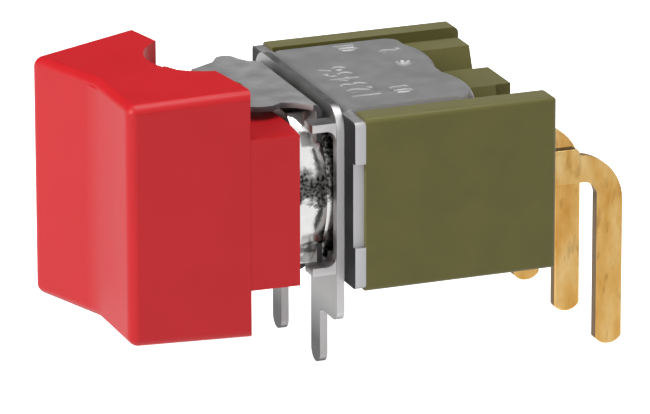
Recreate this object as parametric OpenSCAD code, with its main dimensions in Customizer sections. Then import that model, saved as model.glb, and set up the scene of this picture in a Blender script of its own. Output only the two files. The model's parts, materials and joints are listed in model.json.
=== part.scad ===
// Mini rocker switch for right-angle board mounting, single pole, two positions.
// Millimetres. The board's top is z = 0 and the common pin's axis is x = y = 0.
// The rocker faces -X, the pins bend down at +X, and +Z points up from the board.

/* [Case] */
// Length of the moulded case along Y
case_l = 12.7; // [11.5:0.1:14]
// Depth of the moulded case behind the steel frame
case_d = 9; // [8.6:0.1:11]
// Height of the moulded case
case_h = 7.9; // [7.4:0.1:9]
// Thickness of the two end lips beside the steel frame
lip_t = 1.2; // [0.8:0.05:1.35]
// Outer edge radius of the moulding
case_r = 0.25; // [0.1:0.05:0.4]
// Depth of the terminal barriers behind the case
barrier_d = 0.75; // [0.3:0.05:1]
// Height of the terminal barriers above the switch axis
barrier_h = 2.45; // [2.3:0.05:2.7]
// Wall between the contact chamber and the barriers' tops
roof_t = 0.55; // [0.4:0.05:0.8]
// Depth of the contact chamber
chamber_d = 6.2; // [6:0.1:6.6]
// Thickness of the chamber's end walls
end_wall_t = 1.3; // [0.9:0.05:1.35]

/* [Steel frame] */
// Thickness of the frame's steel sheet
frame_t = 0.5; // [0.3:0.05:0.6]
// Width of the frame's top and bottom plates along Y
frame_w = 9.24; // [8.8:0.1:9.6]
// Depth of the plates to their clinched rear edge
frame_d = 6.45; // [6.2:0.05:6.7]
// How far the two rear tabs bend down into the case
clinch_h = 1.15; // [0.9:0.05:1.3]
// Width of the flat centre stretch between the two rear tabs
clinch_gap = 1.4; // [1:0.1:1.6]
// Diameter of the stamped dimple in the top plate
dimple_d = 1.05; // [0.6:0.05:1.4]

/* [Support bracket] */
// Thickness of the bracket's sheet
bracket_t = 0.35; // [0.25:0.05:0.5]
// Width of the bracket along Y
bracket_w = 10.06; // [9.9:0.1:10.6]
// Top edge of the bracket above the switch axis
bracket_top = 4.1; // [3.9:0.05:4.5]
// Height of the switch axis above the board
axis_h = 5.65; // [5:0.05:7]
// Distance between the two legs' centres
leg_pitch = 4.8; // [4:0.1:6]
// Width of each leg
leg_w = 1.1; // [0.8:0.05:1.5]
// Length of legs and pins below the board's top
pin_below = 2.65; // [2:0.05:4]
// Forward reach of the four folded horns
horn_reach = 1.1; // [0.6:0.05:1.2]

/* [Bushing] */
// Radius of the polished neck
neck_r = 4.57; // [4.4:0.01:4.65]
// Forward reach of the neck from the steel frame
neck_reach = 1.9; // [1.6:0.05:1.95]
// Half height of the neck over its two flats
neck_half_h = 3.5; // [3.3:0.05:3.6]
// Diameter of the bore that the lever swings in
lever_bore_d = 4.2; // [4.1:0.05:4.6]

/* [Yoke] */
// Thickness of the yoke's sheet
yoke_t = 0.25; // [0.2:0.05:0.4]
// Outer height of the yoke above the switch axis
yoke_top = 4.05; // [4:0.05:4.2]
// Half width of the yoke's web
yoke_half_w = 3.9; // [3.5:0.05:4]
// Half width of the lower arm
lower_arm_half_w = 2.1; // [1.6:0.1:2.6]

/* [Rocker] */
// Distance of the pivot axis in front of the case
pivot_out = 3.83; // [3.8:0.01:4]
// Tilt of the rocker to either side of its middle
tilt = 9.4; // [7:0.1:9.6]
// Distance from the pivot axis to the bottom of the cap's front valley
cap_reach = 6.87; // [6.5:0.05:8]
// Half width of the cap at its front corners
cap_front_half_w = 4.48; // [4.2:0.05:5]
// Half height of the cap at its front corners
cap_front_half_h = 5.46; // [5.4:0.05:6]
// Angle of the cap's flared sides
flare_a = 11.3; // [10:0.1:13]
// Angle of the two facets that meet in the front valley
facet_a = 9.84; // [6:0.1:12]
// Draft angle of the cap's top and bottom
draft_a = 1.85; // [1:0.05:3]
// Distance from the pivot axis to the rear edge of the cap's top wall
cap_rear = 2; // [1.95:0.05:2.3]
// Radius of the cap's outer edges
cap_r = 0.5; // [0.3:0.05:0.6]
// Thickness of the cap's top and bottom walls
cap_wall = 1; // [0.8:0.05:1.1]
// Thickness of the cap's side walls
cap_side_t = 1.1; // [0.9:0.05:1.3]
// Thickness of the solid front of the cap
cap_front_t = 1; // [0.8:0.05:1.5]
// Radius of the round notch in the top and bottom walls
notch_r = 2.9; // [2.2:0.1:3]
// Sideways offset of the round notch
notch_shift = 0.5; // [0:0.1:0.6]
// Half height of the band that passes between the ears
band_z = 3.42; // [3.3:0.02:3.46]
// Thickness of the band's two walls
band_t = 1; // [0.7:0.05:1.1]
// Plan radius of the band's rear edge
band_r = 21; // [15:1:30]

/* [Lever and plunger] */
// Diameter of the pivot pin
pin_d = 1; // [0.8:0.05:1.1]
// Diameter of the lever's round arm
arm_d = 2.2; // [2:0.05:2.3]
// Depth of the arm's tip behind the case's front
arm_tip = 2.3; // [2:0.1:2.6]
// Diameter of the plunger
plunger_d = 1.16; // [1:0.02:1.3]
// Length of the plunger held inside the arm
plunger_hold = 1.4; // [1:0.1:1.8]
// Wire diameter of the plunger's spring
spring_wire = 0.16; // [0.12:0.01:0.2]
// Number of turns of the plunger's spring
spring_turns = 6; // [4:1:8]

/* [Contacts] */
// Pitch of the three terminals along Y
terminal_pitch = 4.7; // [4.5:0.05:4.75]
// Thickness of the terminals' sheet
terminal_t = 0.5; // [0.4:0.05:0.7]
// Top edge of the terminals' blades above the switch axis
blade_top = 0.94; // [0.8:0.02:1.1]
// Lower edge of the terminals' blades below the switch axis
blade_low = 0.64; // [0.5:0.02:0.9]
// Width of the terminals' pins along X
pin_w = 1.24; // [0.9:0.02:1.3]
// Distance between the bracket's legs and the row of pins
leg_to_pin = 12.8; // [12.5:0.1:14]
// Tilt of the contactor to either side of its middle
contact_tilt = 5.5; // [4:0.1:5.6]
// Thickness of the contactor's strip
contactor_t = 0.35; // [0.25:0.05:0.4]
// Diameter of the contact rivets' heads
rivet_d = 1.2; // [1:0.05:1.25]

/* [Hidden] */
$fn = 48;

// Clearances: parts that seat on each other, press fits and running fits
seat_gap = 0.02;
press_gap = 0.01;
run_gap = 0.04;
swing_gap = 0.05;
// Extra length by which a cut passes a face
over = 1;

// Steel frame
plate_z = case_h / 2;
sheet_r = 0.2;
front_half_z = plate_z - 0.15;
notch_y = 0.25;
notch_z = 1.9;
plate_corner_r = 0.6;
centre_setback = 0.8;
tab_bow_r = 3.6;
tab_bow_a = 26;
tab_bow_y = clinch_gap / 2 + tab_bow_r * sin(tab_bow_a);
bow_drop = tab_bow_r * (1 - cos(tab_bow_a));
dimple_x = 4.6;
dimple_y = 0.7;
dimple_depth = 0.17;
plate_corner_y = 0.2;

// Case, measured from the middle of its front face
case_y = case_l / 2;
lip_y = case_y - lip_t;
core_z = case_h / 2 - frame_t - seat_gap;
chamber_y = case_y - end_wall_t;
chamber_z = barrier_h - roof_t;
trough_x = frame_d - bow_drop - frame_t - seat_gap;
trough_y = 3.85;
trough_foot = 0.41;
pocket_y = 4.25;
channel_y = 0.8;
channel_foot = 0.43;
channel_z = 1.5;
channel_x = chamber_d + 0.6;
insulator_t = 0.35;
insulator_z = chamber_z + 0.7;
insulator_slot_z = 1.26;
front_chamfer = 0.3;
edge_relief = 0.15;
rear_edge_r = 0.3;

// Support bracket, directly in front of the steel frame
bracket_x = -frame_t;
bracket_front = bracket_x - bracket_t;
bracket_y = bracket_w / 2;
bracket_top_r = 1;
shoulder_r = 0.45;
leg_y = leg_pitch / 2;
leg_fillet = 0.25;
fork_y = leg_y - leg_w / 2;
fork_z = 4;
fork_r = 0.5;
window_z = 3.1;
window_y = neck_r + 0.03;
horn_y = [4.02, 4.95];
horn_fillet = 0.45;
tip_z = axis_h + pin_below;

// Bushing, with the yoke's web let into its rear face
neck_front = -frame_t - neck_reach;
neck_back = -1.1;
web_front = neck_back - yoke_t;
bore_r = lever_bore_d / 2;
spigot_r = bore_r + 0.7;
collar_r = neck_r - 0.07;
collar_z = window_z - 0.1;

// Yoke, one folded sheet with two arms that carry the pivot pin
yoke_bend_r = 0.15;
yoke_corner_r = yoke_bend_r + yoke_t;
arm_root_x = neck_back - yoke_corner_r;
web_low = 3.45;
arm_far_y = 3.2;
arm_nose_r = lower_arm_half_w;
lobe_r = 0.48;
lobe_x = 1.18;
lobe_y = 4;

// Rocker, in its own upright frame before it is tilted
pivot_x = -pivot_out;
valley_x = pivot_x - cap_reach;
corner_x = valley_x - cap_front_half_w * tan(facet_a);
rear_x = pivot_x - cap_rear;
rear_r = 100;
rear_corner_r = 0.3;
band_rear_x = pivot_x + 0.83;
band_inset = 0.03;
slot_front_x = valley_x + cap_front_t;
slot_y = half_w(rear_x) - cap_side_t;
core_y = 3.1;
socket_y = 1.25;
socket_z = 2;
socket_front_x = slot_front_x + 0.1;
socket_rear_x = pivot_x - 3.2;
notch_x = pivot_x - 0.82;

// Lever, pivot pin and plunger
pin_r = pin_d / 2;
eye_r = 1.3;
eye_z = band_z - band_t - swing_gap;
arm_r = arm_d / 2;
plunger_r = plunger_d / 2;
arm_bore_r = plunger_r + run_gap;
spring_room = 2.9;
plunger_back = arm_tip - plunger_hold;
spring_back = plunger_back - spring_room;
spring_r = plunger_r - spring_wire / 2;
pin_end = 0.12;
pin_chamfer = 0.1;

// Contacts
fulcrum_x = chamber_d - 1.35;
knife_r = terminal_t / 2;
saddle_r = knife_r + swing_gap;
saddle_y = saddle_r + 0.4;
contactor_back = fulcrum_x - saddle_r;
contactor_face = contactor_back - contactor_t;
contactor_y = chamber_y - 0.35;
contactor_z = 1.2;
contact_y = contactor_y - 0.4;
rivet_r = rivet_d / 2;
rivet_dome_r = 1.2;
rivet_h = 0.3;
shank_r = 0.25;
dome_x = contactor_back + rivet_h - rivet_dome_r;
touch_x = fulcrum_x + (dome_x - fulcrum_x) * cos(contact_tilt)
    + contact_y * sin(contact_tilt) + rivet_dome_r + press_gap;
fixed_h = 0.25;
pad_t = 0.35;
pad_x = touch_x + fixed_h;
plunger_ball_x = contactor_face - swing_gap - plunger_r;

// Terminals, blanked from sheet and bent down to the board
pin_x = bracket_x - bracket_t / 2 + leg_to_pin;
blade_end = case_d + 1.66;
blade_corner_r = 0.2;
bend_inner_r = 0.65;
bend_x = pin_x - pin_w / 2 - bend_inner_r;
bend_z = -blade_low - bend_inner_r;
bend_outer_r = 2.3;
neck_h = 1.3;
bend_foot_z = neck_h - blade_low - bend_outer_r;
tip_r = pin_w * 0.62;
seal_depth = 0.5;
seal_y = 0.75;
seal_z = 1.25;

function half_w(x) = cap_front_half_w + (x - corner_x) * tan(flare_a);
function half_h(x) = cap_front_half_h + (x - corner_x) * tan(draft_a);

// Places a child from the case's frame into the board's frame
module on_board() translate([-pin_x, 0, axis_h]) children();

// Turns a child with the rocker about the pivot axis
module rocked() translate([pivot_x, 0, 0]) rotate([0, 0, tilt]) translate([-pivot_x, 0, 0]) children();

// Turns a child with the contactor about the fulcrum
module seesawed() translate([fulcrum_x, 0, 0]) rotate([0, 0, -contact_tilt])
    translate([-fulcrum_x, 0, 0]) children();

module both_y() {
    children();
    mirror([0, 1, 0]) children();
}

module both_z() {
    children();
    mirror([0, 0, 1]) children();
}

// Block between two corners
module block(x, y, z) translate([x[0], y[0], z[0]]) cube([x[1] - x[0], y[1] - y[0], z[1] - z[0]]);

// Extrudes a Y-Z outline from x0 to x1
module along_x(x0, x1) translate([x0, 0, 0]) rotate([90, 0, 90]) linear_extrude(x1 - x0) children();

// Extrudes an X-Z outline from y0 to y1
module along_y(y0, y1) translate([0, y1, 0]) rotate([90, 0, 0]) linear_extrude(y1 - y0) children();

// Extrudes an X-Y outline from z0 to z1
module along_z(z0, z1) translate([0, 0, z0]) linear_extrude(z1 - z0) children();

// Round bar along X
module bar_x(x0, x1, r) translate([x0, 0, 0]) rotate([0, 90, 0]) cylinder(h = x1 - x0, r = r);

// Square outline with round corners, centred
module round_rect(w, h, r) {
    square([w - 2 * r, h], center = true);
    square([w, h - 2 * r], center = true);
    for (sx = [-1, 1], sy = [-1, 1])
        translate([sx * (w / 2 - r), sy * (h / 2 - r)]) circle(r);
}

// Waste outside a round corner whose sharp corner is at the origin, opening to -x and -y
module corner_waste(r) difference() {
    translate([-r, -r]) square(r + over);
    translate([-r, -r]) circle(r);
}

// Outline with round rear corners, from x = 0 to a depth and between two half widths
module rear_rounded(depth, half, r) {
    square_half = half - r;
    translate([0, -half]) square([depth - r, 2 * half]);
    translate([0, -square_half]) square([depth, 2 * square_half]);
    for (side = [-1, 1]) translate([depth - r, side * square_half]) circle(r);
}

module case() color("darkolivegreen") on_board() difference() {
    union() {
        intersection() {
            along_x(0, case_d) difference() {
                round_rect(case_l, case_h, case_r);
                for (s = [0, 1]) mirror([0, s])
                    translate([-lip_y, core_z]) square([2 * lip_y, over]);
            }
            along_z(-case_h, case_h) rear_rounded(case_d, case_y, rear_edge_r);
            along_y(-case_l, case_l) rear_rounded(case_d, case_h / 2, rear_edge_r);
        }
        both_y() both_z() along_x(trough_x, case_d + barrier_d)
            polygon([[channel_y, 0], [channel_y, barrier_h],
                [trough_y - trough_foot, barrier_h], [trough_y - trough_foot, 0]]);
    }
    both_z() {
        // Trough behind the steel plate, with sloping ends
        along_x(trough_x, case_d + over) polygon([[-trough_y, core_z + over], [-trough_y, core_z],
            [trough_foot - trough_y, barrier_h], [trough_y - trough_foot, barrier_h],
            [trough_y, core_z], [trough_y, core_z + over]]);
        // Clinch pocket for the steel frame's rear tabs
        block([trough_x, frame_d + 0.1], [-pocket_y, pocket_y], [plate_z - clinch_h - 0.1, plate_z]);
        // Edge relieved for the bends of the rear tabs
        along_y(-pocket_y, pocket_y) polygon([[trough_x - edge_relief, core_z + seat_gap],
            [trough_x + seat_gap, core_z + seat_gap], [trough_x + seat_gap, core_z - edge_relief]]);
        // Channel over the common terminal
        along_x(channel_x, case_d + barrier_d + over) polygon([[-channel_y, barrier_h + over],
            [-channel_y, barrier_h], [channel_foot - channel_y, channel_z],
            [channel_y - channel_foot, channel_z], [channel_y, barrier_h],
            [channel_y, barrier_h + over]]);
        // Front edges relieved for the frame's bends
        along_y(-lip_y, lip_y) polygon([[-over, core_z + over], [-over, core_z - front_chamfer - over],
            [front_chamfer + over, core_z + over]]);
    }
    block([-over, chamber_d], [-chamber_y, chamber_y], [-chamber_z, chamber_z]);
    block([-over, insulator_t + seat_gap], [-chamber_y, chamber_y],
        [-insulator_z - seat_gap, insulator_z + seat_gap]);
    for (y = [-terminal_pitch, 0, terminal_pitch]) translate([0, y, 0]) {
        block([chamber_d - over, case_d + over], [-terminal_t / 2 - seat_gap, terminal_t / 2 + seat_gap],
            [-blade_low - seat_gap, blade_top + seat_gap]);
        block([case_d - seal_depth, case_d + over], [-seal_y, seal_y], [-seal_z, seal_z]);
    }
}

module insulator() color("ivory") on_board() difference() {
    block([0, insulator_t], [seat_gap - chamber_y, chamber_y - seat_gap], [-insulator_z, insulator_z]);
    along_x(-over, insulator_t + over) square([lever_bore_d, 2 * insulator_slot_z], center = true);
}

// One plate of the steel frame, with its front bend and two clinched rear tabs
module frame_plate() {
    tab_r = sheet_r + frame_t;
    reach = frame_d - centre_setback;
    difference() {
        union() {
            block([sheet_r, reach], [-frame_w / 2, frame_w / 2], [plate_z - frame_t, plate_z]);
            both_y() translate([frame_d - tab_bow_r, tab_bow_y, 0]) bowed_tab(tab_r);
        }
        both_y() translate([0, 0, plate_z - frame_t - over]) linear_extrude(frame_t + 2 * over)
            translate([reach, frame_w / 2]) corner_waste(plate_corner_r);
        translate([dimple_x, dimple_y, plate_z + dimple_ball() - dimple_depth]) sphere(dimple_ball());
    }
    along_y(-frame_w / 2, frame_w / 2) quarter_bend(tab_r, -1);
}

// Rear tab bent down and bowed outwards in plan about a vertical axis
module bowed_tab(tab_r) rotate([0, 0, -tab_bow_a]) rotate_extrude(angle = 2 * tab_bow_a) {
    translate([tab_bow_r - 2 * tab_r, plate_z - frame_t]) square([tab_r, frame_t]);
    translate([tab_bow_r - tab_r - sheet_r, 0]) quarter_bend(tab_r, 1);
    translate([tab_bow_r - frame_t, plate_z - clinch_h]) square([frame_t, clinch_h - tab_r]);
}

// Quarter of a bend that starts at the plate, seen along Y
module quarter_bend(r, side) translate([sheet_r, plate_z - r]) intersection() {
    difference() {
        circle(r);
        circle(sheet_r);
    }
    translate([side < 0 ? -r : 0, 0]) square(r);
}

function dimple_ball() = (pow(dimple_d / 2, 2) + pow(dimple_depth, 2)) / (2 * dimple_depth);

module frame() color("gray") on_board() {
    difference() {
        union() {
            block([-frame_t, 0], [-frame_w / 2, frame_w / 2],
                [-plate_z + sheet_r + frame_t, plate_z - sheet_r - frame_t]);
            along_x(-frame_t, 0) round_rect(case_l, 2 * front_half_z, plate_corner_y);
        }
        bar_x(-frame_t - over, over, spigot_r);
        both_y() block([-frame_t - over, over], [case_y - notch_y, case_y + over], [-notch_z, notch_z]);
        // The front plate's wide stretch stops where the two bends begin
        both_z() block([-frame_t - over, over], [-frame_w / 2, frame_w / 2],
            [plate_z - sheet_r - frame_t, plate_z]);
    }
    both_z() frame_plate();
}

module bracket_outline() difference() {
    union() {
        translate([-bracket_y, -axis_h]) square([bracket_w, axis_h + bracket_top]);
        for (s = [-1, 1]) {
            translate([s * leg_y - leg_w / 2, leg_w / 2 - tip_z]) square([leg_w, tip_z - axis_h]);
            translate([s * leg_y, leg_w / 2 - tip_z]) circle(leg_w / 2);
        }
        for (s = [0, 1]) mirror([s, 0]) translate([leg_y + leg_w / 2, -axis_h]) difference() {
            translate([0, -leg_fillet]) square(leg_fillet);
            translate([leg_fillet, -leg_fillet]) circle(leg_fillet);
        }
    }
    square([2 * window_y, 2 * window_z], center = true);
    // Fork between the legs, with round corners at its top
    translate([-fork_y, -axis_h - over]) square([2 * fork_y, axis_h + over - fork_z - fork_r]);
    translate([fork_r - fork_y, -axis_h]) square([2 * (fork_y - fork_r), axis_h - fork_z]);
    for (s = [-1, 1]) translate([s * (fork_y - fork_r), -fork_z - fork_r]) circle(fork_r);
    for (s = [0, 1]) mirror([s, 0]) {
        translate([bracket_y, bracket_top]) corner_waste(bracket_top_r);
        translate([bracket_y, -axis_h]) mirror([0, 1]) corner_waste(shoulder_r);
    }
}

// Horn folded forward at the window's edge, with a fillet at its root
module bracket_horn() along_y(horn_y[0], horn_y[1]) difference() {
    translate([bracket_front - horn_reach, window_z - horn_fillet])
        square([horn_reach + bracket_t, bracket_t + horn_fillet]);
    translate([bracket_front - horn_reach - over, window_z - horn_fillet - over])
        square([horn_reach + over - horn_fillet, horn_fillet + over]);
    translate([bracket_front - horn_fillet, window_z - horn_fillet]) circle(horn_fillet);
}

module support_bracket() color("lightgray") on_board() {
    along_x(bracket_front, bracket_x) bracket_outline();
    both_y() both_z() bracket_horn();
}

module bushing() color("silver") on_board() difference() {
    union() {
        intersection() {
            bar_x(neck_front, neck_back, neck_r);
            block([neck_front, neck_back], [-neck_r, neck_r], [-neck_half_h, neck_half_h]);
        }
        bar_x(web_front, 0, spigot_r - press_gap);
    }
    // Pocket for the yoke's web, round the spigot
    difference() {
        block([web_front, neck_back + over], [-yoke_half_w - seat_gap, yoke_half_w + seat_gap],
            [-yoke_top, yoke_top]);
        bar_x(web_front, over, spigot_r - press_gap);
    }
    bar_x(neck_front - over, over, bore_r);
}

module collar() color("silver") on_board() difference() {
    intersection() {
        bar_x(neck_back, bracket_x, collar_r);
        block([neck_back, 0], [-neck_r, neck_r], [-collar_z, collar_z]);
    }
    bar_x(neck_back - over, over, spigot_r);
}

// Outline of the yoke's upper arm, seen from above
module upper_arm_outline() {
    translate([pivot_x, 0]) circle(arm_nose_r);
    translate([pivot_x + lobe_x, lobe_y]) circle(lobe_r);
    near_side = [[arm_root_x, -yoke_half_w], [arm_root_x - 0.6, -3.25], [arm_root_x - 1.2, -3.05],
        [pivot_x + 0.63, -3.35], [pivot_x + 0.13, -3.35], [pivot_x - 0.77, -2.9]];
    nose = [[pivot_x - 1.57, -1.4], [pivot_x - 1.57, 1.4], [pivot_x - 0.77, 3.05]];
    far_side = [[pivot_x + 0.47, lobe_y - 0.25], [pivot_x + lobe_x - 0.38, lobe_y + 0.29],
        [pivot_x + lobe_x + 0.4, lobe_y + 0.1], [arm_root_x - 0.3, 3.3], [arm_root_x, arm_far_y]];
    polygon(concat(near_side, nose, far_side));
}

// Fold between the web and one arm
module yoke_bend(y0, y1) along_y(y0, y1) translate([arm_root_x, yoke_top - yoke_corner_r])
    intersection() {
        difference() {
            circle(yoke_corner_r);
            circle(yoke_bend_r);
        }
        square(yoke_corner_r);
    }

module yoke() color("darkgray") on_board() difference() {
    union() {
        along_x(web_front, neck_back) {
            translate([-yoke_half_w, -web_low]) square([2 * yoke_half_w, 2 * web_low]);
            translate([-yoke_half_w, 0]) square([yoke_half_w + arm_far_y, yoke_top - yoke_corner_r]);
            translate([-lower_arm_half_w, yoke_corner_r - yoke_top])
                square([2 * lower_arm_half_w, yoke_top - yoke_corner_r]);
        }
        yoke_bend(-yoke_half_w, arm_far_y);
        mirror([0, 0, 1]) yoke_bend(-lower_arm_half_w, lower_arm_half_w);
        along_z(yoke_top - yoke_t, yoke_top) upper_arm_outline();
        along_z(-yoke_top, yoke_t - yoke_top) {
            translate([pivot_x, 0]) circle(arm_nose_r);
            translate([pivot_x, -lower_arm_half_w])
                square([arm_root_x - pivot_x, 2 * lower_arm_half_w]);
        }
    }
    bar_x(web_front - over, over, spigot_r);
    translate([pivot_x, 0, 0]) cylinder(h = 4 * yoke_top, r = pin_r + press_gap, center = true);
}

module pivot_pin() color("gold") on_board() translate([pivot_x, 0, 0]) {
    cylinder(h = 2 * yoke_top, r = pin_r, center = true);
    both_z() translate([0, 0, yoke_top]) cylinder(h = pin_end, r1 = pin_r, r2 = pin_r - pin_chamfer);
}

// Ball that rounds one corner of the cap, inset from the planes that it touches
module cap_ball(x, y, z) translate([x, y, z]) sphere(cap_r, $fn = 20);

// One half of the cap's outer form, on the +Y side of the front valley
module cap_half() {
    facet_x = valley_x + cap_r / cos(facet_a);
    ball_y = (cap_front_half_w + (facet_x - corner_x) * tan(flare_a) - cap_r / cos(flare_a))
        / (1 + tan(flare_a) * tan(facet_a));
    back_x = rear_x + 1;
    hull() both_z() {
        cap_ball(facet_x, 0, ball_z(facet_x));
        cap_ball(facet_x - ball_y * tan(facet_a), ball_y, ball_z(facet_x - ball_y * tan(facet_a)));
        cap_ball(back_x, 0, ball_z(back_x));
        cap_ball(back_x, half_w(back_x) - cap_r / cos(flare_a), ball_z(back_x));
    }
}

function ball_z(x) = half_h(x) - cap_r / cos(draft_a);

// Plan of the cap's body: open at the front, with a slight arc and round corners at the rear
module cap_plan() {
    corner_y = half_w(rear_x) - rear_corner_r / cos(flare_a);
    corner_x1 = rear_x - rear_r + sqrt(pow(rear_r - rear_corner_r, 2) - pow(corner_y, 2));
    intersection() {
        translate([rear_x - rear_r, 0]) circle(rear_r, $fn = 96);
        union() {
            translate([corner_x - over, -2 * corner_y]) square([corner_x1 - corner_x + over, 4 * corner_y]);
            translate([corner_x1 - over, -corner_y]) square([2 * over, 2 * corner_y]);
            for (side = [-1, 1]) translate([corner_x1, side * corner_y]) circle(rear_corner_r);
        }
    }
}

module rocker_cap() color("crimson") on_board() rocked() difference() {
    union() {
        intersection() {
            both_y() cap_half();
            along_z(-2 * yoke_top, 2 * yoke_top) cap_plan();
        }
        along_z(-band_z, band_z) intersection() {
            polygon([for (p = [[rear_x - 2, -1], [band_rear_x, -1], [band_rear_x, 1], [rear_x - 2, 1]])
                [p[0], p[1] * (half_w(p[0]) - band_inset)]]);
            translate([band_rear_x - band_r, 0]) circle(band_r, $fn = 96);
        }
    }
    both_z() {
        // Slot that an ear lies in, open to the rear
        block([slot_front_x, 0], [-slot_y, slot_y], [band_z, half_h(slot_front_x) - cap_wall]);
        // Round notch through the outer wall
        translate([notch_x, notch_shift, band_z]) cylinder(h = 2 * yoke_top, r = notch_r);
    }
    // Core of the band behind the socket, open to the rear
    block([socket_rear_x, 0], [-core_y, core_y], [band_t - band_z, band_z - band_t]);
    // Socket that grips the lever
    block([socket_front_x, socket_rear_x + over], [-socket_y, socket_y], [-socket_z, socket_z]);
    translate([pivot_x, 0, 0]) cylinder(h = 4 * yoke_top, r = pin_r + run_gap, center = true);
}

module lever() color("gold") on_board() rocked() difference() {
    union() {
        translate([pivot_x, 0, 0]) cylinder(h = 2 * eye_z, r = eye_r, center = true);
        block([socket_front_x + seat_gap, pivot_x], [seat_gap - socket_y, socket_y - seat_gap],
            [seat_gap - socket_z, socket_z - seat_gap]);
        bar_x(pivot_x, arm_tip, arm_r);
    }
    translate([pivot_x, 0, 0]) cylinder(h = 4 * yoke_top, r = pin_r + run_gap, center = true);
    bar_x(spring_back, arm_tip + over, arm_bore_r);
}

module plunger() color("dimgray") on_board() rocked() {
    bar_x(plunger_back, plunger_ball_x, plunger_r);
    translate([plunger_ball_x, 0, 0]) sphere(plunger_r);
}

// Helical spring swept as one closed skin of square rings' corners
module plunger_spring() color("lightsteelblue") on_board() rocked() {
    sides = 6;
    steps = 12;
    rings = spring_turns * steps;
    x0 = spring_back + spring_wire / 2 + seat_gap;
    x1 = plunger_back - spring_wire / 2 - seat_gap;
    lean = atan((x1 - x0) / spring_turns / (2 * PI * spring_r));
    skin = [for (i = [0 : rings], j = [0 : sides - 1])
        let (a = i * 360 / steps, b = j * 360 / sides,
            r = spring_r + spring_wire / 2 * cos(b), h = spring_wire / 2 * sin(b))
        [x0 + (x1 - x0) * i / rings + h * cos(lean),
            r * cos(a) + h * sin(lean) * sin(a), r * sin(a) - h * sin(lean) * cos(a)]];
    walls = [for (i = [0 : rings - 1], j = [0 : sides - 1])
        let (k = (j + 1) % sides)
        [i * sides + j, i * sides + k, (i + 1) * sides + k, (i + 1) * sides + j]];
    first = [for (j = [sides - 1 : -1 : 0]) j];
    last = [for (j = [0 : sides - 1]) rings * sides + j];
    polyhedron(skin, concat(walls, [first, last]), convexity = 8);
}

// Terminal's outline: blade, neck, bend and pin
module terminal_outline(inner_x) {
    difference() {
        translate([inner_x, -blade_low]) square([blade_end - inner_x, blade_top + blade_low]);
        translate([blade_end, blade_top]) corner_waste(blade_corner_r);
    }
    // Neck and bend: the outer arc is wider than the inner one
    difference() {
        intersection() {
            translate([blade_end - over, bend_foot_z]) square([pin_x + pin_w - blade_end + over, bend_outer_r]);
            translate([pin_x + pin_w / 2 - bend_outer_r, bend_foot_z]) circle(bend_outer_r);
        }
        translate([bend_x, bend_z]) circle(bend_inner_r);
        translate([blade_end - 2 * over, bend_z - over])
            square([bend_x - blade_end + 2 * over, over + bend_inner_r]);
        translate([bend_x - over, bend_z - 2 * over]) square([over + bend_inner_r, 2 * over]);
    }
    intersection() {
        translate([pin_x - pin_w / 2, -tip_z]) square([pin_w, tip_z + bend_foot_z]);
        union() {
            translate([pin_x, tip_r - tip_z]) circle(tip_r);
            translate([pin_x - pin_w, tip_r - tip_z]) square([2 * pin_w, tip_z]);
        }
    }
}

module end_terminal() difference() {
    union() {
        translate([0, terminal_pitch, 0]) along_y(-terminal_t / 2, terminal_t / 2)
            terminal_outline(pad_x);
        block([pad_x, pad_x + pad_t], [contact_y - rivet_r, max(contact_y + rivet_r, terminal_pitch)],
            [-blade_low, blade_top]);
    }
    translate([0, contact_y, 0]) bar_x(pad_x - over, pad_x + pad_t + over, shank_r + press_gap);
}

module terminal_far() color("goldenrod") on_board() end_terminal();

module terminal_near() color("goldenrod") on_board() mirror([0, 1, 0]) end_terminal();

module terminal_common() color("goldenrod") on_board() {
    along_y(-terminal_t / 2, terminal_t / 2) terminal_outline(fulcrum_x);
    translate([fulcrum_x, 0, -blade_low]) cylinder(h = blade_low + blade_top, r = knife_r);
}

module seal(y) color("saddlebrown") on_board() translate([0, y, 0]) along_x(case_d - seal_depth, case_d)
    difference() {
        square([2 * (seal_y - press_gap), 2 * (seal_z - press_gap)], center = true);
        translate([-terminal_t / 2, -blade_low]) square([terminal_t, blade_low + blade_top]);
    }

module seal_near() seal(-terminal_pitch);

module seal_common() seal(0);

module seal_far() seal(terminal_pitch);

module fixed_contact() translate([0, contact_y, 0]) {
    bar_x(touch_x, pad_x, rivet_r);
    bar_x(pad_x - press_gap, pad_x + pad_t, shank_r);
}

module fixed_contact_far() color("silver") on_board() fixed_contact();

module fixed_contact_near() color("silver") on_board() mirror([0, 1, 0]) fixed_contact();

module contactor() color("peru") on_board() seesawed() difference() {
    union() {
        block([contactor_face, contactor_back], [-contactor_y, contactor_y], [-contactor_z, contactor_z]);
        block([contactor_face, fulcrum_x], [-saddle_y, saddle_y], [-blade_low, blade_top]);
    }
    translate([fulcrum_x, 0, 0]) cylinder(h = 4 * contactor_z, r = saddle_r, center = true);
    both_y() translate([0, contact_y, 0])
        bar_x(contactor_face - over, contactor_back + over, shank_r + press_gap);
}

// Domed contact rivet, turned about its shank's axis
module moving_contact() translate([contactor_back, contact_y, 0]) rotate([0, 90, 0]) rotate_extrude() {
    intersection() {
        translate([0, rivet_h - rivet_dome_r]) circle(rivet_dome_r);
        square([rivet_r, rivet_h]);
    }
    translate([0, -contactor_t]) square([shank_r, contactor_t + press_gap]);
}

module moving_contact_far() color("silver") on_board() seesawed() moving_contact();

module moving_contact_near() color("silver") on_board() seesawed() mirror([0, 1, 0]) moving_contact();

rocker_cap();
lever();
plunger();
plunger_spring();
pivot_pin();
bushing();
collar();
yoke();
frame();
support_bracket();
insulator();
case();
terminal_near();
terminal_common();
terminal_far();
seal_near();
seal_common();
seal_far();
fixed_contact_near();
fixed_contact_far();
contactor();
moving_contact_near();
moving_contact_far();
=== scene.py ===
import json
import math
import bmesh
import bpy
from mathutils import Matrix, Vector


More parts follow.
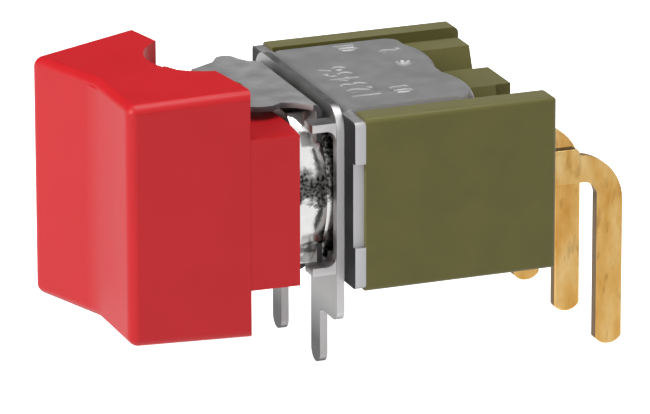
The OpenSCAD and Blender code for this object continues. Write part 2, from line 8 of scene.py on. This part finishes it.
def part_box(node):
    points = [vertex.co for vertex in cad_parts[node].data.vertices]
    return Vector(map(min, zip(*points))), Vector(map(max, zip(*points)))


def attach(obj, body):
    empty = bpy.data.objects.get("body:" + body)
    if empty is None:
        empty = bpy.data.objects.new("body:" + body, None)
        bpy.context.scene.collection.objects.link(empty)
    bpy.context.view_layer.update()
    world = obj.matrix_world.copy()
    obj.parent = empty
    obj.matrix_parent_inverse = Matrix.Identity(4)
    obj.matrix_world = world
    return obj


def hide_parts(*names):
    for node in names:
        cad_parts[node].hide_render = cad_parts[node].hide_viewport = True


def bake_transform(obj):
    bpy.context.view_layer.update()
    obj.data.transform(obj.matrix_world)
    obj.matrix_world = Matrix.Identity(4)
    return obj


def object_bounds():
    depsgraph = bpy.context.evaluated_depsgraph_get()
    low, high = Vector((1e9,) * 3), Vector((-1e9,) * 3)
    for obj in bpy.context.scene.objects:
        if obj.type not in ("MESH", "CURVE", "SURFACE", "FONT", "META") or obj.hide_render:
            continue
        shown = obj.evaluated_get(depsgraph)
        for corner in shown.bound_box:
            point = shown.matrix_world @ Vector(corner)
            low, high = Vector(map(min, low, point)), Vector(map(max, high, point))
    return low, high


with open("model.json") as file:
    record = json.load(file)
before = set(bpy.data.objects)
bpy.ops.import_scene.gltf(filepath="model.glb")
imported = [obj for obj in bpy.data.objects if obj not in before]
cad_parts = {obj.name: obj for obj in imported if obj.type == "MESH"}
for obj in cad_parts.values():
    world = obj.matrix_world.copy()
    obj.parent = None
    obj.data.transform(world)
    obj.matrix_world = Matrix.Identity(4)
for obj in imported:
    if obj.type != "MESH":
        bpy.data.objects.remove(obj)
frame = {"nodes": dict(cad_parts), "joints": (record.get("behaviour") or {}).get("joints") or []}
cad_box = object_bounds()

# A mini rocker switch for right-angle board mounting. Sizes are in millimetres
# unless a name says otherwise, and MM turns them to metres.
MM = 0.001
nodes = frame["nodes"]
joints = {joint["name"]: joint for joint in frame["joints"]}

# The rocker rests tilted about its pivot, and the plunger slides along its lever
pivot = Vector(joints["rocker_tilt"]["pos_m"])
lever_axis = Vector(joints["plunger_slide"]["axis"])
rocker_tilt = math.atan2(lever_axis.y, lever_axis.x)
upright_to_tilted = Matrix.Translation(pivot) @ Matrix.Rotation(rocker_tilt, 4, "Z")
tilted_to_upright = upright_to_tilted.inverted()


# Values that several steps share
NO_EDGE_TURN = math.radians(0.3)
SHARP_EDGE = math.radians(32)
SURROUND_LIGHT = 0.38
FLOOR_SIZE = 4.0
CAP_EDGE_MM = 0.13
VALLEY_EDGE_MM = 0.7
STAMP_DEPTH_MM = 0.04
STAMP_NARROWING = 0.78
FONT_SIZE_PER_HEIGHT = 1.37


# ---------------------------------------------------------------- Camera

CAMERA_PLACE = Vector((-112.732, -262.512, 95.952)) * MM
CAMERA_AZIMUTH = math.radians(-21.071)
CAMERA_ELEVATION = math.radians(18.173)
CAMERA_ROLL = math.radians(-0.123)
CAMERA_LENS = 369.95


def make_camera():
    """A long lens, so that the switch shows with little perspective."""
    data = bpy.data.cameras.new("camera")
    data.lens = CAMERA_LENS
    data.clip_start = 0.01
    data.clip_end = 10
    camera = bpy.data.objects.new("camera", data)
    bpy.context.scene.collection.objects.link(camera)
    camera.matrix_world = (
        Matrix.Translation(CAMERA_PLACE)
        @ Matrix.Rotation(CAMERA_AZIMUTH, 4, "Z")
        @ Matrix.Rotation(math.pi / 2 - CAMERA_ELEVATION, 4, "X")
        @ Matrix.Rotation(CAMERA_ROLL, 4, "Z")
    )
    bpy.context.scene.camera = camera


# ---------------------------------------------------------------- Materials

def colour(hex_code):
    """An sRGB hex colour as linear red, green, blue and alpha."""
    values = [int(hex_code[i:i + 2], 16) / 255 for i in (1, 3, 5)]
    return [v / 12.92 if v <= 0.04045 else ((v + 0.055) / 1.055) ** 2.4 for v in values] + [1]


def add(tree, kind, inputs=None, **settings):
    """Adds a shader node, sets it, and links or fills its inputs."""
    made = tree.nodes.new("ShaderNode" + kind)
    for name, value in settings.items():
        setattr(made, name, value)
    for socket, value in (inputs or {}).items():
        if isinstance(value, bpy.types.NodeSocket):
            tree.links.new(value, made.inputs[socket])
        else:
            made.inputs[socket].default_value = value
    return made


def plain_material(name):
    """A new material with an empty node tree."""
    made = bpy.data.materials.new(name)
    made.use_nodes = True
    made.node_tree.nodes.clear()
    return made, made.node_tree


def new_material(name, **constants):
    """A material with its shader's own sockets set, and its place on the object in metres."""
    made, tree = plain_material(name)
    shader = add(tree, "BsdfPrincipled", {k.replace("_", " "): v for k, v in constants.items()})
    add(tree, "OutputMaterial", {"Surface": shader.outputs["BSDF"]})
    place = add(tree, "TexCoord").outputs["Object"]
    return made, tree, shader, place


def dress(tree, shader, tone, gloss, grain, strength, depth_mm):
    """Gives a shader its colour, its gloss and a bump from a grain."""
    bump = add(tree, "Bump", {"Height": grain.outputs["Fac"], "Strength": strength,
                              "Distance": depth_mm * MM})
    tree.links.new(tone.outputs["Result"], shader.inputs["Base Color"])
    tree.links.new(gloss.outputs["Result"], shader.inputs["Roughness"])
    tree.links.new(bump.outputs["Normal"], shader.inputs["Normal"])


def moulded_red_nylon():
    """Injection-moulded nylon, dyed red: an even colour with a soft sheen off a fine spark-eroded
    mould face, so highlights are wide and pale and the colour stays deep in the shade."""
    made, tree, shader, place = new_material("moulded_red_nylon", IOR=1.40)
    cloud = add(tree, "TexNoise", {"Vector": place, "Scale": 1 / (2.5 * MM), "Detail": 3.0})
    tone = add(tree, "Mix", {"Factor": cloud.outputs["Fac"], "A": colour("#C3171F"),
                             "B": colour("#CB1D26")}, data_type="RGBA")
    grain = add(tree, "TexNoise", {"Vector": place, "Scale": 1 / (0.09 * MM), "Detail": 2.0})
    gloss = add(tree, "MapRange", {"Value": cloud.outputs["Fac"], "To Min": 0.34, "To Max": 0.42})
    dress(tree, shader, tone, gloss, grain, strength=0.35, depth_mm=0.008)
    return made


def moulded_olive_phenolic():
    """Glass-filled thermoset, moulded: dull olive with fine flow marks and a fine grain."""
    made, tree, shader, place = new_material("moulded_olive_phenolic", IOR=1.40, Sheen_Weight=0.16,
                                             Sheen_Roughness=0.5)
    flow = add(tree, "TexNoise", {"Vector": place, "Scale": 1 / (1.6 * MM), "Detail": 5.0,
                                  "Distortion": 0.6})
    tone = add(tree, "Mix", {"Factor": flow.outputs["Fac"], "A": colour("#5B5724"),
                             "B": colour("#67632E")}, data_type="RGBA")
    grain = add(tree, "TexNoise", {"Vector": place, "Scale": 1 / (0.14 * MM), "Detail": 3.0})
    gloss = add(tree, "MapRange", {"Value": flow.outputs["Fac"], "To Min": 0.46, "To Max": 0.60})
    dress(tree, shader, tone, gloss, grain, strength=0.4, depth_mm=0.01)
    return made


def metal(name, dark, light, roughness, spread, grain_mm, depth_mm, sheared=None, front=None,
          painted_shade_end=None):
    """Rolled, drawn or plated metal: its gloss and tone vary in patches, over a fine pitted skin.
    On sheet parts, the sides that the press sheared have their own dull colour. The front below
    a height, or the end from one place to another along an axis, can get painted shade: a darker
    colour that stands in for the shade that falls there."""
    made, tree, shader, place = new_material(name, Metallic=1.0)
    patches = add(tree, "TexNoise", {"Vector": place, "Scale": 1 / (0.9 * MM), "Detail": 4.0})
    tone = add(tree, "Mix", {"Factor": patches.outputs["Fac"], "A": colour(dark), "B": colour(light)},
               data_type="RGBA")
    where = add(tree, "SeparateXYZ", {"Vector": place})
    facing = add(tree, "SeparateXYZ", {"Vector": add(tree, "TexCoord").outputs["Normal"]})
    # Painted shade: the end from one place to another along an axis is painted darker for the shade
    # that falls there
    if painted_shade_end:
        end_shade_colour, axis, first_mm, full_mm = painted_shade_end
        towards = add(tree, "MapRange", {"Value": where.outputs[axis], "From Min": first_mm * MM,
                                         "From Max": full_mm * MM})
        tone = add(tree, "Mix", {"Factor": towards.outputs["Result"], "A": tone.outputs["Result"],
                                 "B": colour(end_shade_colour)}, data_type="RGBA")
    # Painted shade: faces that look forward, below a height, are painted darker for the shade that
    # falls there
    if front:
        front_shade_colour, top_mm = front
        ahead = add(tree, "MapRange", {"Value": facing.outputs["X"], "From Min": -0.75,
                                       "From Max": -0.97})
        under = add(tree, "MapRange", {"Value": where.outputs["Z"], "From Min": (top_mm + 0.4) * MM,
                                       "From Max": (top_mm - 0.4) * MM})
        share = add(tree, "Math", {0: ahead.outputs["Result"], 1: under.outputs["Result"]},
                    operation="MULTIPLY")
        tone = add(tree, "Mix", {"Factor": share.outputs["Value"], "A": tone.outputs["Result"],
                                 "B": colour(front_shade_colour)}, data_type="RGBA")
    if sheared:
        sideways = add(tree, "Math", {0: facing.outputs["Y"]}, operation="ABSOLUTE")
        cut = add(tree, "MapRange", {"Value": sideways.outputs["Value"], "From Min": 0.75,
                                     "From Max": 0.95})
        tone = add(tree, "Mix", {"Factor": cut.outputs["Result"], "A": tone.outputs["Result"],
                                 "B": colour(sheared)}, data_type="RGBA")
        torn = add(tree, "MapRange", {"Value": cut.outputs["Result"], "To Min": 1.0, "To Max": 0.25})
        tree.links.new(torn.outputs["Result"], shader.inputs["Metallic"])
    gloss = add(tree, "MapRange", {"Value": patches.outputs["Fac"], "To Min": roughness - spread,
                                   "To Max": roughness + spread})
    grain = add(tree, "TexNoise", {"Vector": place, "Scale": 1 / (grain_mm * MM), "Detail": 3.0})
    dress(tree, shader, tone, gloss, grain, strength=0.5, depth_mm=depth_mm)
    return made


def nickel_with_painted_reflections(name, low_mm, high_mm, painted_pool_mm):
    """Bright nickel on a machined neck, polished, with painted reflections: a band between two heights
    is painted dark and speckled for a dark reflection, and a soft grey painted reflection lies at
    a lower height. Being paint, they stay put from any view."""
    made, tree, shader, place = new_material(name, Metallic=1.0)
    ragged = add(tree, "TexNoise", {"Vector": place, "Scale": 1 / (0.5 * MM), "Detail": 5.0})
    stray = add(tree, "MapRange", {"Value": ragged.outputs["Fac"], "To Min": -0.9 * MM,
                                   "To Max": 0.9 * MM})
    where = add(tree, "SeparateXYZ", {"Vector": place})
    height = add(tree, "Math", {0: where.outputs["Z"], 1: stray.outputs["Result"]}, operation="ADD")
    # Painted reflection: a band between two heights is painted dark with speckles, for the dark
    # surroundings that the polished neck mirrors
    above = add(tree, "MapRange", {"Value": height.outputs["Value"], "From Min": (low_mm - 0.1) * MM,
                                   "From Max": (low_mm + 0.1) * MM})
    below = add(tree, "MapRange", {"Value": height.outputs["Value"], "From Min": (high_mm + 0.3) * MM,
                                   "From Max": (high_mm - 0.3) * MM})
    band = add(tree, "Math", {0: above.outputs["Result"], 1: below.outputs["Result"]},
               operation="MULTIPLY")
    specks = add(tree, "TexNoise", {"Vector": place, "Scale": 1 / (0.13 * MM), "Detail": 3.0})
    dots = add(tree, "MapRange", {"Value": specks.outputs["Fac"], "From Min": 0.40, "From Max": 0.62})
    dark = add(tree, "Mix", {"Factor": dots.outputs["Result"], "A": colour("#262626"),
                             "B": colour("#9A9A98")}, data_type="RGBA")
    bright = add(tree, "Mix", {"Factor": ragged.outputs["Fac"], "A": colour("#DEDEDC"),
                               "B": colour("#F0F0EE")}, data_type="RGBA")
    # Painted reflection: a soft grey pool painted at a lower height, for the dark reflection there
    away = add(tree, "Math", {0: height.outputs["Value"], 1: painted_pool_mm * MM}, operation="SUBTRACT")
    away = add(tree, "Math", {0: away.outputs["Value"]}, operation="ABSOLUTE")
    painted_pool = add(tree, "MapRange", {"Value": away.outputs["Value"], "From Min": 0.5 * MM,
                                   "From Max": 0.1 * MM, "To Max": 0.85})
    bright = add(tree, "Mix", {"Factor": painted_pool.outputs["Result"], "A": bright.outputs["Result"],
                               "B": colour("#3C3C3C")}, data_type="RGBA")
    tone = add(tree, "Mix", {"Factor": band.outputs["Value"], "A": bright.outputs["Result"],
                             "B": dark.outputs["Result"]}, data_type="RGBA")
    gloss = add(tree, "MapRange", {"Value": band.outputs["Value"], "To Min": 0.14, "To Max": 0.34})
    dress(tree, shader, tone, gloss, specks, strength=0.5, depth_mm=0.010)
    return made


def gold_plate():
    """Gold flash over brass: warm yellow, satin, with orange patches, darker rub marks along the
    pin where the forming tool gripped it, and a thinner, browner plating on its cut edges."""
    made, tree, shader, place = new_material("gold_plate", Metallic=1.0)
    stretch = add(tree, "Mapping", {"Vector": place, "Scale": (1.0, 1.0, 0.35)})
    patches = add(tree, "TexNoise", {"Vector": stretch.outputs["Vector"], "Scale": 1 / (1.1 * MM),
                                     "Detail": 3.0})
    tone = add(tree, "ValToRGB", {"Fac": patches.outputs["Fac"]})
    ramp = tone.color_ramp
    ramp.elements[0].position = 0.26
    ramp.elements[0].color = colour("#CE8726")
    ramp.elements[1].position = 0.74
    ramp.elements[1].color = colour("#FFE0A0")
    ramp.elements.new(0.5).color = colour("#EDBC6C")
    rubs = add(tree, "TexNoise", {"Vector": stretch.outputs["Vector"], "Scale": 1 / (0.45 * MM),
                                  "Detail": 4.0})
    worn = add(tree, "MapRange", {"Value": rubs.outputs["Fac"], "From Min": 0.56, "From Max": 0.74,
                                  "To Max": 0.6})
    tone = add(tree, "Mix", {"Factor": worn.outputs["Result"], "A": tone.outputs["Color"],
                             "B": colour("#9A6224")}, data_type="RGBA")
    facing = add(tree, "SeparateXYZ", {"Vector": add(tree, "TexCoord").outputs["Normal"]})
    endways = add(tree, "Math", {0: facing.outputs["X"]}, operation="ABSOLUTE")
    cut = add(tree, "MapRange", {"Value": endways.outputs["Value"], "From Min": 0.7, "From Max": 0.98,
                                 "To Max": 0.9})
    tone = add(tree, "Mix", {"Factor": cut.outputs["Result"], "A": tone.outputs["Result"],
                             "B": colour("#523A22")}, data_type="RGBA")
    gloss = add(tree, "MapRange", {"Value": patches.outputs["Fac"], "To Min": 0.24, "To Max": 0.38})
    grain = add(tree, "TexNoise", {"Vector": place, "Scale": 1 / (0.30 * MM), "Detail": 4.0})
    dress(tree, shader, tone, gloss, grain, strength=0.5, depth_mm=0.012)
    return made


def dull_solid(name, dark, light, roughness):
    """Boards and potting: a matte solid with a mottled tone."""
    made, tree, shader, place = new_material(name, Roughness=roughness)
    mottle = add(tree, "TexNoise", {"Vector": place, "Scale": 1 / (0.5 * MM), "Detail": 4.0})
    tone = add(tree, "Mix", {"Factor": mottle.outputs["Fac"], "A": colour(dark), "B": colour(light)},
               data_type="RGBA")
    tree.links.new(tone.outputs["Result"], shader.inputs["Base Color"])
    return made


# ---------------------------------------------------------------- Modelling helpers

def deselect():
    """Leaves any edit and selects nothing."""
    if bpy.context.object and bpy.context.object.mode != "OBJECT":
        bpy.ops.object.mode_set(mode="OBJECT")
    bpy.ops.object.select_all(action="DESELECT")


def make_active(piece):
    """Selects one piece, so that operators act on it alone."""
    deselect()
    bpy.context.view_layer.objects.active = piece
    piece.select_set(True)


def apply_modifier(piece, kind, **settings):
    """Adds a modifier to a piece and applies it."""
    make_active(piece)
    modifier = piece.modifiers.new(kind.lower(), kind)
    for name, value in settings.items():
        setattr(modifier, name, value)
    bpy.ops.object.modifier_apply(modifier=modifier.name)


def smooth(piece, degrees=30):
    """Smooth shading across rounded edges, with the broad faces kept flat."""
    make_active(piece)
    bpy.ops.object.shade_smooth_by_angle(angle=math.radians(degrees))
    apply_modifier(piece, "WEIGHTED_NORMAL", mode="FACE_AREA", weight=50, keep_sharp=True)


def solid_copy(node, name):
    """A merged copy of a CAD node's mesh, with its flat faces whole again."""
    piece = bpy.data.objects.new(name, nodes[node].data.copy())
    bpy.context.scene.collection.objects.link(piece)
    piece.data.materials.clear()
    make_active(piece)
    bpy.ops.object.mode_set(mode="EDIT")
    bpy.ops.mesh.select_all(action="SELECT")
    bpy.ops.mesh.customdata_custom_splitnormals_clear()
    bpy.ops.mesh.remove_doubles(threshold=0.0005 * MM)
    bpy.ops.mesh.dissolve_limited(angle_limit=NO_EDGE_TURN)
    bpy.ops.object.mode_set(mode="OBJECT")
    return piece


def round_edges(piece, edge_mm, segments, sharp=SHARP_EDGE):
    """Rounds each edge where faces turn by more than an angle."""
    apply_modifier(piece, "BEVEL", width=edge_mm * MM, segments=segments, limit_method="ANGLE",
                   angle_limit=sharp, miter_outer="MITER_ARC")


def stand_for(node):
    """Hides a CAD node, so that a piece can stand in its place."""
    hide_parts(node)


def finished(node, surface, edge_mm, segments=2):
    """A copy of one of the housing's CAD nodes with its sharp edges rounded, which stands for it."""
    piece = solid_copy(node, node + "_finished")
    round_edges(piece, edge_mm, segments)
    smooth(piece)
    piece.data.materials.append(surface)
    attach(piece, "housing")
    stand_for(node)
    return piece


# ---------------------------------------------------------------- Stage

def make_stage():
    """A pale floor that keeps a faint shadow, a white surround, two dark cards and two lamps."""
    floor_height = cad_box[0][2]
    bpy.ops.mesh.primitive_plane_add(size=FLOOR_SIZE, location=(0, 0, floor_height))
    floor = bpy.context.object
    floor.name = "floor"
    made, tree = plain_material("pale_floor")
    seen = add(tree, "LightPath").outputs["Is Camera Ray"]
    paint = add(tree, "BsdfDiffuse", {"Color": colour("#F2F2F2")})
    glow = add(tree, "Emission", {"Color": colour("#FFFFFF"), "Strength": seen})
    both = add(tree, "AddShader", {0: paint.outputs["BSDF"], 1: glow.outputs["Emission"]})
    add(tree, "OutputMaterial", {"Surface": both.outputs["Shader"]})
    floor.data.materials.append(made)
    floor.visible_glossy = False

    world = bpy.data.worlds.new("surround")
    bpy.context.scene.world = world
    world.use_nodes = True
    tree = world.node_tree
    tree.nodes.clear()
    path = add(tree, "LightPath").outputs
    seen = add(tree, "Math", {0: path["Is Camera Ray"], 1: path["Is Transmission Ray"]},
               operation="MAXIMUM")
    seen = add(tree, "Math", {0: seen.outputs["Value"], 1: path["Is Glossy Ray"]}, operation="MAXIMUM")
    level = add(tree, "MapRange", {"Value": seen.outputs["Value"], "To Min": SURROUND_LIGHT,
                                   "To Max": 1.0})
    sky = add(tree, "Background", {"Color": colour("#FFFFFF"), "Strength": level.outputs["Result"]})
    add(tree, "OutputWorld", {"Surface": sky.outputs["Background"]})

    make_flags()
    lamp("key_lamp", place=(-0.33, -0.08, 0.20), size=0.22, watts=0.92)
    lamp("top_lamp", place=(0.04, -0.02, 0.37), size=0.26, watts=0.76)


def make_flags():
    """Dark cards behind and in front, as a studio has them: they show only in reflections, where
    they take the white off the upward faces and give the metal its contrast."""
    made, tree = plain_material("black_felt")
    felt = add(tree, "BsdfDiffuse", {"Color": colour("#484848")})
    add(tree, "OutputMaterial", {"Surface": felt.outputs["BSDF"]})
    for name, place, width, height in (
        ("rear_flag", (0.12, 0.52, 0.36), 2.0, 0.68),
        ("front_flag", (0.30, -0.58, -0.06), 0.9, 0.20),
    ):
        bpy.ops.mesh.primitive_plane_add(size=1)
        flag = bpy.context.object
        flag.name = name
        flag.data.transform(Matrix.Diagonal((width, height, 1.0, 1.0)))
        flag.location = place
        flag.rotation_euler = facing_switch(place)
        flag.data.materials.append(made)
        flag.visible_camera = False
        flag.visible_diffuse = False
        flag.visible_shadow = False
        flag.visible_transmission = False


def facing_switch(place):
    """The turn that points an object's -Z axis at the middle of the switch."""
    low, high = cad_box
    target = (Vector(low) + Vector(high)) / 2
    return (target - Vector(place)).to_track_quat("-Z", "Y").to_euler()


def lamp(name, place, size, watts):
    """A square soft box that faces the switch."""
    data = bpy.data.lights.new(name, "AREA")
    data.size = size
    data.energy = watts
    piece = bpy.data.objects.new(name, data)
    bpy.context.scene.collection.objects.link(piece)
    piece.location = place
    piece.rotation_euler = facing_switch(place)


# ---------------------------------------------------------------- Pieces

def make_cap(surface):
    """The red rocker: its front valley is a soft hollow, and its edges are rounded."""
    piece = solid_copy("rocker_cap", "rocker_shell")
    piece.data.transform(tilted_to_upright)
    front = min(v.co.x for v in piece.data.vertices)
    make_active(piece)
    bpy.ops.object.mode_set(mode="EDIT")
    bpy.ops.mesh.select_all(action="DESELECT")
    mesh = bmesh.from_edit_mesh(piece.data)
    for edge in mesh.edges:
        ends = [v.co for v in edge.verts]
        on_middle = all(abs(end.y) < 0.02 * MM for end in ends)
        near_front = all(end.x < front + 1.5 * MM for end in ends)
        rise = abs(ends[0].z - ends[1].z)
        if on_middle and near_front and rise > 2 * MM:
            edge.select_set(True)
    bmesh.update_edit_mesh(piece.data)
    bpy.ops.mesh.bevel(offset=VALLEY_EDGE_MM * MM, segments=6, affect="EDGES")
    bpy.ops.object.mode_set(mode="OBJECT")
    piece.data.transform(upright_to_tilted)
    round_edges(piece, CAP_EDGE_MM, segments=3, sharp=math.radians(40))
    smooth(piece, degrees=35)
    piece.data.materials.append(surface)
    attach(piece, "rocker")
    stand_for("rocker_cap")


def stamp(plate, words, centre_mm, height_mm, top):
    """Strikes shallow characters with sloping sides, read along +Y, into the top of a plate."""
    deselect()
    bpy.ops.object.text_add(location=(0, 0, 0))
    cutter = bpy.context.object
    cutter.data.body = words
    cutter.data.size = height_mm * FONT_SIZE_PER_HEIGHT * MM
    cutter.data.align_x = "CENTER"
    cutter.data.align_y = "CENTER"
    cutter.data.bevel_depth = STAMP_DEPTH_MM * MM
    cutter.data.bevel_resolution = 0
    cutter.data.space_character = 1.1
    bpy.ops.object.convert(target="MESH")
    cutter = bpy.context.object
    bpy.ops.object.mode_set(mode="EDIT")
    bpy.ops.mesh.select_all(action="SELECT")
    bpy.ops.mesh.remove_doubles(threshold=0.001 * MM)
    bpy.ops.mesh.normals_make_consistent(inside=False)
    bpy.ops.object.mode_set(mode="OBJECT")
    x, y = centre_mm
    cutter.data.transform(
        Matrix.Translation((x * MM, y * MM, top))
        @ Matrix.Rotation(math.pi / 2, 4, "Z")
        @ Matrix.Diagonal((STAMP_NARROWING, 1, 1, 1))
    )
    apply_modifier(plate, "BOOLEAN", operation="DIFFERENCE", solver="EXACT", use_self=True,
                   object=cutter)
    bpy.data.objects.remove(cutter)


def make_frame(surface):
    """The folded steel frame, with plain numbers stamped in its top plate."""
    piece = finished("frame", surface, edge_mm=0.05)
    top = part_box("frame")[1].z
    stamp(piece, "123456", centre_mm=(-10.72, -1.0), height_mm=1.4, top=top)
    stamp(piece, "01", centre_mm=(-9.0, 3.95), height_mm=1.0, top=top)
    stamp(piece, "03", centre_mm=(-9.0, -2.75), height_mm=1.0, top=top)
    stamp(piece, "2", centre_mm=(-7.33, 2.83), height_mm=1.1, top=top)
    smooth(piece)


def make_spring(surface):
    """The plunger's spring, between the rocker and the plunger: a smoothed copy of its CAD node, which
    stays where it is.
    """
    spring = solid_copy("plunger_spring", "plunger_spring_finished")
    smooth(spring, degrees=50)
    spring.data.materials.append(surface)
    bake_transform(spring)
    stand_for("plunger_spring")


# ---------------------------------------------------------------- The whole switch

make_camera()
make_stage()

red = moulded_red_nylon()
olive = moulded_olive_phenolic()
satin_steel = metal("satin_steel", "#989898", "#C6C6C6", roughness=0.58, spread=0.08, grain_mm=0.16,
                    depth_mm=0.012, sheared="#505052")
# The frame's steel has painted shade on the front plate's forward faces below 9.7 mm, behind the
# bracket
frame_steel = metal("frame_steel", "#A0A0A0", "#AEAEAE", roughness=0.58, spread=0.06, grain_mm=0.12,
                    depth_mm=0.004, sheared="#C6C5C8", front=("#38393B", 9.7))
# The bracket's plated steel has painted shade on its lower end
plated_steel = metal("plated_steel", "#A4A4A4", "#BCBCBB", roughness=0.40, spread=0.08, grain_mm=0.15,
                     depth_mm=0.004, sheared="#E2E2E3", painted_shade_end=("#58585A", "Z", 0.8, -1.6))
# The neck and collar carry painted reflections: a dark speckled band and a grey pool
neck_nickel = nickel_with_painted_reflections("neck_nickel", low_mm=5.45, high_mm=6.9, painted_pool_mm=3.1)
collar_nickel = nickel_with_painted_reflections("collar_nickel", low_mm=5.45, high_mm=8.6, painted_pool_mm=3.1)
brass = metal("machined_brass", "#D2B46A", "#E2CA8C", roughness=0.28, spread=0.05, grain_mm=0.10,
              depth_mm=0.005)
spring_steel = metal("spring_wire", "#9A9B9D", "#B0B1B2", roughness=0.30, spread=0.05, grain_mm=0.08,
                     depth_mm=0.003)
plunger_steel = metal("plunger_steel", "#77787A", "#8C8D8F", roughness=0.35, spread=0.05,
                      grain_mm=0.08, depth_mm=0.003)
silver = metal("contact_silver", "#DAD8D2", "#EAE8E3", roughness=0.25, spread=0.06, grain_mm=0.08,
               depth_mm=0.004)
copper = metal("rolled_copper", "#C08258", "#D09A72", roughness=0.30, spread=0.06, grain_mm=0.12,
               depth_mm=0.005)
gold = gold_plate()
board = dull_solid("insulating_board", "#CDBE9C", "#DACDB0", roughness=0.75)
potting = dull_solid("epoxy_seal", "#3A2A18", "#4A3724", roughness=0.5)

make_cap(red)
make_frame(frame_steel)
make_spring(spring_steel)
finished("case", olive, edge_mm=0.08)
finished("support_bracket", plated_steel, edge_mm=0.10, segments=3)
finished("collar", collar_nickel, edge_mm=0.05)
finished("bushing", neck_nickel, edge_mm=0.06)
finished("yoke", satin_steel, edge_mm=0.04)
finished("pivot_pin", brass, edge_mm=0.05)
for end in ("near", "common", "far"):
    finished("terminal_" + end, gold, edge_mm=0.13, segments=4)

# Pieces that need no rounding keep their CAD mesh and only get their material
for name, surface in {
    "lever": brass, "plunger": plunger_steel, "contactor": copper, "insulator": board,
    "seal_near": potting, "seal_common": potting, "seal_far": potting,
    "fixed_contact_near": silver, "fixed_contact_far": silver,
    "moving_contact_near": silver, "moving_contact_far": silver,
}.items():
    nodes[name].data.materials.clear()
    nodes[name].data.materials.append(surface)

bpy.context.scene.view_settings.view_transform = "Standard"
